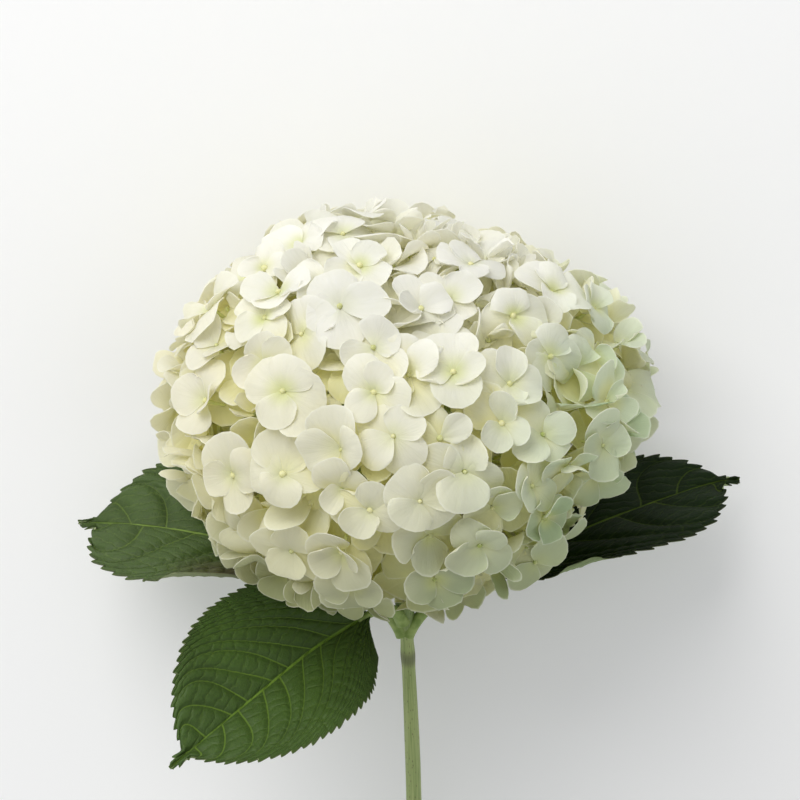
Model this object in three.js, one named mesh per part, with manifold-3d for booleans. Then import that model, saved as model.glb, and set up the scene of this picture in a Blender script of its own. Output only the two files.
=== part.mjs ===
// A cut mophead hydrangea lying on its side: one stem with its forked top, three toothed leaves and the
// flower head. Millimetres, +Z up. The surface that the flower lies on is z = 0, the stem runs from its cut
// end at -Y to the head at +Y, and the origin is the flat spot that the head rests on, straight below the
// head's centre.
import * as THREE from "three";
import { mergeVertices } from "three/addons/utils/BufferGeometryUtils.js";
import Module from "manifold-3d";

const wasm = await Module();
wasm.setup();

// ---- Driving dimensions -------------------------------------------------------------------------------
const HEAD_RADIUS = 99; // half the head's width
const HEAD_DEPTH = 80; // from the head's centre to its crown, and to its lower rim
const HEAD_HEIGHT = 86; // the head's centre above the surface: its underside is pressed flat by its weight
const STEM_REACH = 335; // from the head's centre to the cut end, along the stem
const STEM_RADIUS = 3.9; // at the cut end
const NODE_AT = -93; // where the leaves grow, along the axis from the head's centre
const SEAT_GAP = 0.3; // clearance between two pieces that grow from each other

const FLORETS = 74; // on the whole head
const FLORET_RADIUS = 21; // centre of a floret to the tip of a sepal
const SEPAL_THICKNESS = 0.8;
const OPENING_LATITUDE = -56; // degrees: no floret grows below this, where the stem comes in
const CORE_SHARE = 0.56; // the bundle of stalks in the middle, as a share of the head
const STALK_RADIUS = 1.1; // just under a floret; it is thicker at its root
const LAYER_START = 6; // how deep the outermost florets sit under the head's outline
const LAYER_STEP = 4; // florets sit in three layers, this far apart
const SHINGLE_LEAN = 0.35; // florets lean so that each one's lower edge lies over the next
const FACING_JITTER = 0.28;
const PRESSED_UNDER = 10.5; // florets lower than this are pressed flat on the surface by the head's weight

const RAYS = 6; // branches that the stem's top forks into
const FORK_AT = -62;
const RAY_TIP_AT = -13;
const RAY_SPREAD = 27;
const RAY_RADIUS = 1.9;

const LEAF_THICKNESS = 0.8;
const LEAF_RIBS = 9; // side veins on each half
const STATIONS_PER_RIB = 4;
const LEAF_ROWS = 3; // from the midrib to the margin
const TOOTH_DEPTH = 2.4;
const PLEAT_DEPTH = 0.8;
const MIDRIB_DEPTH = 1.3;
const RIB_SWEEP = 0.13; // how far a side vein runs towards the tip on its way to the margin

const RIND_GREEN = { color: 0x8b9a5a, roughness: 0.6 };
const PETAL_WHITE = { color: 0xf1efdc, roughness: 0.6 };
const LEAF_GREEN = { color: 0x34502a, roughness: 0.5 };

// ---- The flower's own frame ---------------------------------------------------------------------------
// ACROSS points right, ALONG from the cut end through the head to its crown, FRONT up from the surface.
const TILT = Math.asin(HEAD_HEIGHT / Math.hypot(STEM_REACH, STEM_RADIUS)) - Math.atan(STEM_RADIUS / STEM_REACH);
const CENTRE = new THREE.Vector3(0, 0, HEAD_HEIGHT);
const ACROSS = new THREE.Vector3(1, 0, 0);
const ALONG = new THREE.Vector3(0, Math.cos(TILT), Math.sin(TILT));
const FRONT = new THREE.Vector3(0, -Math.sin(TILT), Math.cos(TILT));

const radians = THREE.MathUtils.degToRad;

/** The point at (across, front, along) from the head's centre. */
function at(across, front, along) {
  const point = CENTRE.clone().addScaledVector(ACROSS, across);
  return point.addScaledVector(FRONT, front).addScaledVector(ALONG, along);
}

/** A repeatable draw from 0 to 1 for item i, of kind k. */
function draw(i, k) {
  const wave = Math.sin(i * 12.9898 + k * 78.233) * 43758.5453;
  return wave - Math.floor(wave);
}

// ---- Solids -------------------------------------------------------------------------------------------
/** A closed geometry as a manifold solid. */
function solidOf(geometry) {
  const bare = new THREE.BufferGeometry();
  bare.setAttribute("position", geometry.getAttribute("position").clone());
  if (geometry.index) bare.setIndex(geometry.index.clone());
  const merged = mergeVertices(bare, 1e-4);
  const mesh = new wasm.Mesh({
    numProp: 3,
    vertProperties: new Float32Array(merged.getAttribute("position").array),
    triVerts: new Uint32Array(merged.index.array),
  });
  return new wasm.Manifold(mesh);
}

/** The largest body of a solid, as a geometry with flat faces. */
function geometryOf(solid) {
  const largest = solid.decompose().reduce((a, b) => (b.volume() > a.volume() ? b : a));
  const mesh = largest.getMesh();
  const geometry = new THREE.BufferGeometry();
  geometry.setAttribute("position", new THREE.BufferAttribute(Float32Array.from(mesh.vertProperties), 3));
  geometry.setIndex(new THREE.BufferAttribute(Uint32Array.from(mesh.triVerts), 1));
  const faceted = geometry.toNonIndexed();
  faceted.computeVertexNormals();
  return faceted;
}

/** A tapered rod between two points, round its own axis with a few flat sides. */
function rod(from, to, radiusFrom, radiusTo, sides) {
  const length = from.distanceTo(to);
  const geometry = new THREE.CylinderGeometry(radiusTo, radiusFrom, length, sides, 1);
  const direction = to.clone().sub(from).normalize();
  const turn = new THREE.Quaternion().setFromUnitVectors(new THREE.Vector3(0, 1, 0), direction);
  geometry.applyQuaternion(turn);
  geometry.translate(...from.clone().add(to).multiplyScalar(0.5).toArray());
  return solidOf(geometry);
}

/** Everything below the surface z = 0. */
function belowSurface() {
  const size = 1200;
  return solidOf(new THREE.BoxGeometry(size, size, size).translate(0, 0, -size / 2));
}

// ---- The stem with its forked top ---------------------------------------------------------------------
/** Stem radius along the axis: swollen where leaves grow or once grew, thinner below the head. */
const STEM_PROFILE = [
  [-STEM_REACH, STEM_RADIUS],
  [-268, 3.7],
  [-252, 5.0],
  [-244, 4.8],
  [-232, 3.5],
  [-160, 3.3],
  [NODE_AT - 16, 3.2],
  [NODE_AT - 5, 4.6],
  [NODE_AT + 3, 4.8],
  [NODE_AT + 10, 3.4],
  [FORK_AT - 4, 3.0],
  [FORK_AT + 3, 3.6],
];
const STEM_BOW = 5; // how far the stem bows towards the front, halfway down
const STEM_SIDES = 10;

/** Where the stem's middle lies at a place along the axis. */
function stemPoint(along) {
  const share = THREE.MathUtils.clamp((NODE_AT - along) / (STEM_REACH + NODE_AT), 0, 1);
  return at(STEM_BOW * 0.8 * Math.sin(Math.PI * share), STEM_BOW * Math.sin(Math.PI * share), along);
}

/** The stem, its skin moved out by grow. */
function stemRod(grow) {
  const [bottom, top] = [STEM_PROFILE[0][0], STEM_PROFILE[STEM_PROFILE.length - 1][0]];
  const skin = STEM_PROFILE.map(([along, radius]) => new THREE.Vector2(radius + grow, along));
  const profile = [new THREE.Vector2(0, bottom), ...skin, new THREE.Vector2(0, top)];
  const geometry = new THREE.LatheGeometry(profile, STEM_SIDES);
  const place = geometry.getAttribute("position");
  for (let i = 0; i < place.count; i++) {
    const along = place.getY(i);
    const p = stemPoint(along).addScaledVector(ACROSS, place.getX(i)).addScaledVector(FRONT, place.getZ(i));
    place.setXYZ(i, p.x, p.y, p.z);
  }
  return solidOf(geometry);
}

/** The stem and the rays that it forks into under the head. */
function stemSolid(grow) {
  const fork = at(0, 0, FORK_AT);
  const rays = Array.from({ length: RAYS }, (_, i) => {
    const turn = ((i + 0.5) / RAYS) * 2 * Math.PI;
    const tip = at(RAY_SPREAD * Math.sin(turn), RAY_SPREAD * Math.cos(turn), RAY_TIP_AT);
    const reach = tip.clone().sub(fork).setLength(grow);
    return rod(fork, tip.add(reach), RAY_RADIUS + 0.5 + grow, RAY_RADIUS + grow, 6);
  });
  return wasm.Manifold.union([stemRod(grow), ...rays]);
}

// ---- Leaves -------------------------------------------------------------------------------------------
// route: the midrib as (across, front, along) from where it grows to the tip.
// baseFace, tipFace: what the blade's upper side looks towards at its two ends, for a blade twists a little.
// broadest: over 1 for a blade that is broadest past its middle.
// petioleShare: the bare part of the route.
// cup: how far the margins are raised, as a share of the half width.
const LEAVES = {
  leaf_left: {
    route: [
      [0, 0, NODE_AT],
      [-40, -8, -79],
      [-81, -16, -70],
      [-116, -25, -69],
      [-142, -38, -76],
    ],
    baseFace: [0.1, 0.1, 1],
    tipFace: [0.15, 0.5, 1],
    halfWidth: 37,
    broadest: 1.5,
    petioleShare: 0.19,
    cup: 0.12,
  },
  leaf_right: {
    route: [
      [0, 0, NODE_AT],
      [30, -5, -83],
      [61, -13, -72],
      [92, -23, -63],
      [134, -42, -58],
      [146, -48, -60],
    ],
    baseFace: [-0.15, 0, 1],
    tipFace: [-0.25, 0.3, 1],
    halfWidth: 36,
    broadest: 1.1,
    petioleShare: 0.19,
    cup: 0.1,
  },
  leaf_front: {
    route: [
      [0, 3, NODE_AT + 7],
      [-20, 18, -91],
      [-38, 33, -95],
      [-57, 54, -100],
      [-77, 76, -106],
      [-94, 92, -113],
    ],
    baseFace: [0.23, 0.45, 1],
    tipFace: [0.23, 0.45, 1],
    halfWidth: 40,
    broadest: 0.95,
    petioleShare: 0.13,
    cup: 0.4,
  },
};
const PETIOLE_RADIUS = 2.1;
const PETIOLE_STEPS = 4;
const PETIOLE_ENTRY = 0.06; // how far the petiole runs on under the blade, as a share of the route
const RODS_OVERLAP = 0.5;
const TIP_FROM = 0.92; // where the round blade ends and its drawn-out tip goes on, as a share of the blade
const TIP_WIDTH = 0.09; // half the drawn-out tip's width, as a share of halfWidth
const TIP_BLUNTNESS = 0.6;

/** Half the blade's width at a share of its length, as a share of halfWidth. */
function bladeWidth(leaf, share) {
  const swell = Math.pow(share / TIP_FROM, leaf.broadest);
  const round = Math.sqrt(Math.max(1 - (2 * swell - 1) ** 2, 0));
  const wedge = 1 - 0.8 * Math.exp(-share / 0.1);
  return (1 - TIP_WIDTH) * round * wedge + TIP_WIDTH * Math.pow(1 - share, 0.3);
}

/** Gives the midrib's point at a share of the blade, with the directions ahead, across and up there. */
function leafFrame(leaf) {
  const curve = new THREE.CatmullRomCurve3(leaf.route.map((p) => at(...p)));
  const [baseFace, tipFace] = [leaf.baseFace, leaf.tipFace].map((p) => at(...p).sub(CENTRE).normalize());
  return (share) => {
    const along = leaf.petioleShare + (1 - leaf.petioleShare) * share;
    const middle = curve.getPointAt(along);
    const ahead = curve.getTangentAt(along);
    const face = baseFace.clone().lerp(tipFace, share);
    const across = new THREE.Vector3().crossVectors(ahead, face).normalize();
    const up = new THREE.Vector3().crossVectors(across, ahead).normalize();
    return { middle, ahead, across, up };
  };
}

/** One leaf: an arched blade, pleated between its side veins, with a toothed margin, on its petiole. */
function leafSolid(leaf, grow) {
  const frame = leafFrame(leaf);
  const last = LEAF_RIBS * STATIONS_PER_RIB;
  const columns = 2 * LEAF_ROWS + 1;
  const top = [];
  const bottom = [];
  for (let i = 0; i <= last; i++) {
    for (let column = -LEAF_ROWS; column <= LEAF_ROWS; column++) {
      const row = Math.abs(column) / LEAF_ROWS;
      const root = (i / last) * (1 - 0.1 * row);
      const share = Math.min(root + RIB_SWEEP * Math.pow(row, 1.4) * (1 - i / last), 1);
      const { middle, ahead, across, up } = frame(share);
      const width = bladeWidth(leaf, share) * leaf.halfWidth + TIP_BLUNTNESS;
      const onMargin = Math.abs(column) === LEAF_ROWS && i > 1 && i < last;
      const tooth = onMargin ? (i % 2 ? TOOTH_DEPTH : -0.3) : 0;
      const out = Math.sign(column) * (width * row + tooth * 0.7);
      const pleat = PLEAT_DEPTH * Math.cos((2 * Math.PI * i) / STATIONS_PER_RIB);
      const lift = leaf.cup * width * row - pleat * Math.sin(Math.PI * Math.min(row, 0.8));
      const point = middle.clone().addScaledVector(across, out);
      point.addScaledVector(up, lift).addScaledVector(ahead, tooth);
      const rib = column === 0 ? MIDRIB_DEPTH * (1 - 0.7 * (i / last)) : 0;
      top.push(point.clone().addScaledVector(up, LEAF_THICKNESS / 2 + grow));
      bottom.push(point.clone().addScaledVector(up, -LEAF_THICKNESS / 2 - rib - grow));
    }
  }
  const geometry = new THREE.BufferGeometry();
  const places = [...top, ...bottom].flatMap((p) => p.toArray());
  geometry.setAttribute("position", new THREE.BufferAttribute(new Float32Array(places), 3));
  geometry.setIndex(sheetFaces(last + 1, columns));
  return solidOf(geometry).add(petiole(leaf, grow));
}

/** The faces of a closed sheet: rows x columns points on top, as many below, and a wall round the edge. */
function sheetFaces(rows, columns) {
  const faces = [];
  const under = rows * columns;
  const point = (i, j) => i * columns + j;
  const quad = (a, b, c, d) => faces.push(a, b, c, a, c, d);
  for (let i = 0; i < rows - 1; i++) {
    for (let j = 0; j < columns - 1; j++) {
      const [a, b, c, d] = [point(i, j), point(i, j + 1), point(i + 1, j + 1), point(i + 1, j)];
      quad(a, b, c, d);
      quad(under + a, under + d, under + c, under + b);
    }
    quad(point(i, 0), point(i + 1, 0), under + point(i + 1, 0), under + point(i, 0));
    const j = columns - 1;
    quad(point(i + 1, j), point(i, j), under + point(i, j), under + point(i + 1, j));
  }
  for (let j = 0; j < columns - 1; j++) {
    const i = rows - 1;
    quad(point(0, j + 1), point(0, j), under + point(0, j), under + point(0, j + 1));
    quad(point(i, j), point(i, j + 1), under + point(i, j + 1), under + point(i, j));
  }
  return faces;
}

/** The leaf's stalk, from inside the stem to the base of its blade. */
function petiole(leaf, grow) {
  const curve = new THREE.CatmullRomCurve3(leaf.route.map((p) => at(...p)));
  const end = leaf.petioleShare + PETIOLE_ENTRY;
  const radius = (share) => PETIOLE_RADIUS * (1.25 - 0.55 * share) + grow;
  const rods = [];
  for (let i = 0; i < PETIOLE_STEPS; i++) {
    const shares = [i / PETIOLE_STEPS, (i + 1) / PETIOLE_STEPS];
    const [from, to] = shares.map((share) => curve.getPointAt(share * end));
    from.addScaledVector(to.clone().sub(from).normalize(), i ? -RODS_OVERLAP : 0);
    rods.push(rod(from, to, ...shares.map(radius), 6));
  }
  return wasm.Manifold.union(rods);
}

// ---- The flower head ----------------------------------------------------------------------------------
// Swellings and hollows of the head's outline, as (across, front, along) directions.
const LOBES = [
  { towards: [-0.6, 0.1, 0.8], width: 0.5, gain: 0.03 },
  { towards: [-0.77, -0.3, 0.56], width: 0.5, gain: 0.05 },
  { towards: [0.98, -0.08, 0.15], width: 0.5, gain: 0.05 },
  { towards: [0.75, 0.2, -0.55], width: 0.45, gain: -0.07 },
  { towards: [0.5, 0.41, -0.77], width: 0.35, gain: -0.08 },
  { towards: [0.28, -0.45, 0.85], width: 0.22, gain: -0.06 },
  { towards: [0.2, 0.35, 0.9], width: 0.22, gain: -0.05 },
];

/** How far the head reaches in a direction given as (across, front, along). */
function headReach(direction) {
  const { x, y, z } = direction;
  const ellipsoid = 1 / Math.hypot(x / HEAD_RADIUS, y / HEAD_RADIUS, z / HEAD_DEPTH);
  const lobes = LOBES.map(({ towards, width, gain }) => {
    const apart = new THREE.Vector3(...towards).normalize().distanceTo(direction);
    return gain * Math.exp(-((apart / width) ** 2));
  });
  return ellipsoid * (1 + lobes.reduce((a, b) => a + b, 0));
}

/** Where each floret grows: evenly over the head by the golden angle, down to the opening round the stem. */
function floretPlaces() {
  const golden = Math.PI * (3 - Math.sqrt(5));
  const lowest = Math.sin(radians(OPENING_LATITUDE));
  return Array.from({ length: FLORETS }, (_, i) => {
    const height = 1 - ((i + 0.5) / FLORETS) * (1 - lowest);
    const ring = Math.sqrt(1 - height * height);
    return new THREE.Vector3(ring * Math.sin(golden * i), ring * Math.cos(golden * i), height).normalize();
  });
}

/** Keeps a point above the surface, where the head's weight presses its lowest sepals flat. */
function press(point, level) {
  point.z = Math.max(point.z, level);
  return point;
}

/** A floret's outline: for each of its four sepals a notch, two shoulders and the tip between them. */
const SEPAL_OUTLINE = [
  { turn: -45, reach: 0.6, lift: -0.02 },
  { turn: -25, reach: 0.95, lift: -0.07 },
  { turn: 0, reach: 1.0, lift: 0 },
  { turn: 25, reach: 0.95, lift: 0.07 },
];

/** One floret facing a direction, as a thin dished blade of four overlapping sepals. */
function floret(i, centre, facing) {
  const spin = draw(i, 1) * 90;
  const dish = 0.02 + 0.2 * draw(i, 2);
  const radius = FLORET_RADIUS * (0.92 + 0.16 * draw(i, 3));
  const turn = new THREE.Quaternion().setFromUnitVectors(new THREE.Vector3(0, 0, 1), facing);
  const outline = [];
  for (let sepal = 0; sepal < 4; sepal++) {
    for (const { turn: angle, reach, lift } of SEPAL_OUTLINE) {
      const a = radians(sepal * 90 + angle + spin);
      const r = radius * reach;
      outline.push(new THREE.Vector3(r * Math.cos(a), r * Math.sin(a), radius * (dish * reach * reach + lift)));
    }
  }
  const middle = new THREE.Vector3(0, 0, 0);
  const upper = [middle, ...outline].map((p) => p.clone().applyQuaternion(turn).add(centre));
  const lower = upper.map((p) => p.clone().addScaledVector(facing, -SEPAL_THICKNESS));
  const count = outline.length;
  const faces = [];
  for (let k = 0; k < count; k++) {
    const [a, b] = [1 + k, 1 + ((k + 1) % count)];
    const under = count + 1;
    faces.push(0, a, b, under, under + b, under + a, a, under + a, under + b, a, under + b, b);
  }
  const geometry = new THREE.BufferGeometry();
  const places = [...upper.map((p) => press(p, 0)), ...lower.map((p) => press(p, SEPAL_THICKNESS))];
  const numbers = new Float32Array(places.flatMap((p) => p.toArray()));
  geometry.setAttribute("position", new THREE.BufferAttribute(numbers, 3));
  geometry.setIndex(faces);
  return solidOf(geometry);
}

/** Which way a floret faces: squarely out of the head, leaning towards the crown, and a little at random. */
function floretFacing(i, place) {
  const square = new THREE.Vector3(place.x / HEAD_RADIUS, place.y / HEAD_RADIUS, place.z / HEAD_DEPTH);
  const facing = at(...square.normalize().toArray()).sub(CENTRE);
  facing.addScaledVector(ALONG, SHINGLE_LEAN).normalize();
  const jitter = [5, 6, 7].map((kind) => FACING_JITTER * (draw(i, kind) - 0.5));
  return facing.add(new THREE.Vector3(...jitter)).normalize();
}

/** The head: florets on stalks that come out of a smaller core, fused together. */
function headSolid() {
  const core = new THREE.SphereGeometry(1, 16, 10);
  core.scale(HEAD_RADIUS * CORE_SHARE, HEAD_DEPTH * CORE_SHARE, HEAD_RADIUS * CORE_SHARE);
  core.rotateX(TILT).translate(...CENTRE.toArray());
  const solids = [solidOf(core)];
  floretPlaces().forEach((place, i) => {
    const depth = headReach(place) - LAYER_START - LAYER_STEP * (i % 3);
    const outward = at(...place.toArray()).sub(CENTRE).normalize();
    const centre = CENTRE.clone().addScaledVector(outward, depth);
    const facing = floretFacing(i, place);
    if (centre.z < PRESSED_UNDER) {
      facing.set(0, 0, -1);
      centre.z = 0;
    }
    const root = CENTRE.clone().addScaledVector(outward, depth * CORE_SHARE * 0.8);
    solids.push(floret(i, centre, facing));
    solids.push(rod(root, centre.clone().addScaledVector(facing, -0.3), STALK_RADIUS * 1.6, STALK_RADIUS, 3));
  });
  return wasm.Manifold.union(solids);
}

// ---- The object ---------------------------------------------------------------------------------------
function nodeMesh(name, solid, finish) {
  const mesh = new THREE.Mesh(geometryOf(solid), new THREE.MeshStandardMaterial({ ...finish, metalness: 0 }));
  mesh.name = name;
  return mesh;
}

const hydrangea = new THREE.Group();
const ground = belowSurface();
const stemRoom = stemSolid(SEAT_GAP);

hydrangea.add(nodeMesh("stem", stemSolid(0).subtract(ground), RIND_GREEN));
hydrangea.add(nodeMesh("flower_head", headSolid().subtract(stemRoom).subtract(ground), PETAL_WHITE));
for (const [name, leaf] of Object.entries(LEAVES)) {
  hydrangea.add(nodeMesh(name, leafSolid(leaf, 0).subtract(stemRoom), LEAF_GREEN));
}

export default hydrangea;
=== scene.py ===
"""A cut white hydrangea lying on its side: the fine florets, leaves and stem built over its CAD frame.

Lengths are millimetres until a mesh is made. Points in the flower's own frame are (across, along, front) from the
head's centre: across points right, along from the cut end to the crown, front up from the floor.
"""
import math
from types import SimpleNamespace

import bpy
import numpy as np
from mathutils import Matrix, Vector

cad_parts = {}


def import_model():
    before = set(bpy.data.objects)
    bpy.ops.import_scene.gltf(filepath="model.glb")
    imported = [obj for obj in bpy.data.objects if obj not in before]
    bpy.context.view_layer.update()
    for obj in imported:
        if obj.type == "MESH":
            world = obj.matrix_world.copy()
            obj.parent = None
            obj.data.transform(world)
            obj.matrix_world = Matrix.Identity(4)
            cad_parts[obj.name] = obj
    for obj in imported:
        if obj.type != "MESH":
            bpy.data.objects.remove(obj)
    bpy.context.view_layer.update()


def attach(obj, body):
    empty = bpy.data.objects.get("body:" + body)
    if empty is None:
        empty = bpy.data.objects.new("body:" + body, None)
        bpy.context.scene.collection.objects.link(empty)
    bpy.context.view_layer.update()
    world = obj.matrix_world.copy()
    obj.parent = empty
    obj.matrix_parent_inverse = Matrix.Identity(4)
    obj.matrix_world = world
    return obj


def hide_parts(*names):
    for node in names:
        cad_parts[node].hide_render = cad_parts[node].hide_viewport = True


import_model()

# ---- The CAD model's sizes ----
HEAD_RADIUS, HEAD_DEPTH, HEAD_HEIGHT = 99.0, 80.0, 86.0
STEM_REACH, STEM_RADIUS, STEM_BOW = 335.0, 3.9, 5.0
NODE_AT, FORK_AT, STEM_TOP = -93.0, -62.0, -59.0  # along the axis: where the leaves grow, the fork, the stem's top
RAYS, RAY_TIP_AT, RAY_SPREAD = 6, -13.0, 27.0
OPENING_LATITUDE = -56.0  # degrees: no outer floret grows below this, where the stem comes in
TILT = math.asin(HEAD_HEIGHT / math.hypot(STEM_REACH, STEM_RADIUS)) - math.atan(STEM_RADIUS / STEM_REACH)

MM = 0.001
HEAD_SIZE = np.array([HEAD_RADIUS, HEAD_DEPTH, HEAD_RADIUS])
CENTRE = np.array([0.0, 0.0, HEAD_HEIGHT])
AXES = np.array([[1, 0, 0], [0, math.cos(TILT), math.sin(TILT)], [0, -math.sin(TILT), math.cos(TILT)]])
UP = AXES[:, 2]  # straight up from the floor, in the flower's frame

LOBES = [  # swellings and hollows of the head: direction, width, gain
    ((-0.6, 0.8, 0.1), 0.5, 0.03),
    ((-0.77, 0.56, -0.3), 0.5, 0.05),
    ((0.98, 0.15, -0.08), 0.5, 0.05),
    ((0.75, -0.55, 0.2), 0.45, -0.07),
    ((0.5, -0.77, 0.41), 0.35, -0.08),
    ((0.28, 0.85, -0.45), 0.22, -0.06),
    ((0.2, 0.9, 0.35), 0.22, -0.05),
    # From here on they are smaller ones of the petals alone.
    ((-0.76, 0.57, -0.3), 0.26, -0.09),
    ((0.47, 0.78, -0.41), 0.34, -0.07),
    ((0.28, 0.85, -0.45), 0.16, -0.06),
    ((0.80, -0.53, 0.28), 0.34, -0.13),
    ((0.96, -0.25, 0.13), 0.22, -0.05),
    ((-0.92, -0.345, 0.18), 0.3, 0.025),
    ((0.64, 0.68, -0.36), 0.24, -0.05),
    ((0.15, -0.87, 0.46), 0.2, 0.05),
]


def world(points):
    """Flower-frame points as world points, in millimetres."""
    return CENTRE + np.asarray(points) @ AXES


def unit(v):
    v = np.asarray(v, float)
    return v / np.maximum(np.linalg.norm(v, axis=-1, keepdims=True), 1e-9)


def ramp(value, low, high):
    """0 up to low and 1 from high on, with a smooth step between them."""
    x = np.clip((value - low) / (high - low), 0, 1)
    return x * x * (3 - 2 * x)


def head_reach(directions):
    """How far the head reaches in unit directions of its own frame."""
    reach = 1 / np.sqrt(((directions / HEAD_SIZE) ** 2).sum(-1))
    swell = 1
    for towards, width, gain in LOBES:
        apart = np.linalg.norm(directions - unit(towards), axis=-1)
        swell = swell + gain * np.exp(-((apart / width) ** 2))
    return reach * swell


def surface_normals(points):
    return unit(points / HEAD_SIZE**2)


def spiral(count, lowest, start=0.0):
    """Directions spread evenly by the golden angle from the crown down to a lowest height on the unit sphere."""
    i = np.arange(count)
    height = 1 - (i + 0.5) / count * (1 - lowest)
    ring = np.sqrt(1 - height**2)
    turn = math.pi * (3 - math.sqrt(5)) * i + start
    return np.stack([ring * np.sin(turn), height, ring * np.cos(turn)], -1)


def nearest(points, others):
    """The nearest of the others to each point."""
    return others[np.argmin(np.linalg.norm(points[:, None] - others, axis=-1), 1)]


# ---- Camera ----
VIEW_RAISE = math.radians(28)  # the camera stands this far from the front towards the crown
VIEW_DISTANCE = 1100.0
VIEW_SCALE = 0.41  # millimetres per picture pixel at the head's centre
CENTRE_PIXEL = (405.0, 410.0)
PICTURE = 800
SENSOR = 36.0
# The picture's right and up and the way to the camera, in the flower's frame.
VIEW = np.array([
    [1, 0, 0],
    [0, math.cos(VIEW_RAISE), -math.sin(VIEW_RAISE)],
    [0, math.sin(VIEW_RAISE), math.cos(VIEW_RAISE)],
])


def make_camera():
    data = bpy.data.cameras.new("camera")
    data.sensor_width = SENSOR
    data.lens = SENSOR * VIEW_DISTANCE / (PICTURE * VIEW_SCALE)
    data.shift_x = (PICTURE / 2 - CENTRE_PIXEL[0]) / PICTURE
    data.shift_y = (CENTRE_PIXEL[1] - PICTURE / 2) / PICTURE
    data.clip_start, data.clip_end = 0.05, 40.0
    camera = bpy.data.objects.new("camera", data)
    bpy.context.scene.collection.objects.link(camera)
    place = world(VIEW[2] * VIEW_DISTANCE) * MM
    camera.matrix_world = Matrix.Translation(Vector(place)) @ Matrix((VIEW @ AXES).T.tolist()).to_4x4()
    bpy.context.scene.camera = camera


def on_head(pixel):
    """The flower-frame point of the head's near side that a picture pixel shows."""
    depth = np.linspace(115, -60, 351)
    shrink = 1 - depth / VIEW_DISTANCE
    u = (pixel[0] - CENTRE_PIXEL[0]) * VIEW_SCALE * shrink
    v = (CENTRE_PIXEL[1] - pixel[1]) * VIEW_SCALE * shrink
    points = np.stack([u, v, depth], -1) @ VIEW
    share = np.linalg.norm(points, axis=-1) / head_reach(unit(points))
    inside = np.nonzero(share <= 1)[0]
    best = inside[0] if len(inside) else np.argmin(share)
    return points[best] / share[best]


# ---- Meshes ----
def make_piece(name, points, faces, material, node, tone, place, crease=50):
    """A smooth mesh from flower-frame points and arrays of faces. tone and place are three numbers per point."""
    points = world(points)
    points[:, 2] = np.maximum(points[:, 2], 0)
    mesh = bpy.data.meshes.new(name)
    corners = np.concatenate([f.ravel() for f in faces]).astype(np.int32)
    sizes = np.concatenate([np.full(len(f), f.shape[1]) for f in faces])
    mesh.vertices.add(len(points))
    mesh.vertices.foreach_set("co", (points * MM).astype(np.float32).ravel())
    mesh.loops.add(len(corners))
    mesh.loops.foreach_set("vertex_index", corners)
    mesh.polygons.add(len(sizes))
    mesh.polygons.foreach_set("loop_start", (np.cumsum(sizes) - sizes).astype(np.int32))
    mesh.update(calc_edges=True)
    mesh.polygons.foreach_set("use_smooth", np.ones(len(sizes), bool))
    mesh.set_sharp_from_angle(angle=math.radians(crease))
    layer = mesh.color_attributes.new("tone", "FLOAT_COLOR", "POINT")
    layer.data.foreach_set("color", np.insert(tone, 3, 1, 1).astype(np.float32).ravel())
    layer = mesh.attributes.new("place", "FLOAT_VECTOR", "POINT")
    layer.data.foreach_set("vector", place.astype(np.float32).ravel())
    mesh.materials.append(material)
    piece = bpy.data.objects.new(name, mesh)
    bpy.context.scene.collection.objects.link(piece)
    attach(piece, "root")
    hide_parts(node)


def quads(grid):
    """The faces between the points of a grid of indices."""
    return np.stack([grid[:-1, :-1], grid[1:, :-1], grid[1:, 1:], grid[:-1, 1:]], -1).reshape(-1, 4)


def copies(faces, count, points):
    """The faces of one form repeated for more of them, which follow each other with so many points each."""
    return (faces + (np.arange(count) * points)[:, None, None]).reshape(-1, faces.shape[1])


def sheet_faces(rows, columns):
    """The quads of a closed sheet: rows x columns points on top, as many below, and a wall round the edge."""
    grid = np.arange(rows * columns).reshape(rows, columns)
    top = quads(grid)[:, [0, 3, 2, 1]]
    ring = np.concatenate([grid[0], grid[1:, -1], grid[-1, -2::-1], grid[-2:0:-1, 0]])
    after = np.roll(ring, -1)
    wall = np.stack([after, ring, ring + grid.size, after + grid.size], -1)
    return np.concatenate([top, top[:, ::-1] + grid.size, wall])


def sheets(middle, normal, thickness):
    """Many closed sheets as one mesh. middle and normal are (sheets, rows, columns, 3), thickness (rows, columns)."""
    count, rows, columns, _ = middle.shape
    half = thickness[..., None] / 2
    both = np.stack([middle + normal * half, middle - normal * half], 1)
    return both.reshape(-1, 3), [copies(sheet_faces(rows, columns), count, 2 * rows * columns)]


def grid_normals(points):
    """Unit normals of grids of points, (..., rows, columns, 3)."""
    return unit(np.cross(np.gradient(points, axis=-2), np.gradient(points, axis=-3)))


def tube_faces(steps, sides):
    """The wall of a tube, and the indices of its points round both ends."""
    grid = np.arange(steps * sides).reshape(steps, sides)
    return quads(np.column_stack([grid, grid[:, 0]])), grid[0], grid[-1]


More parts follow.
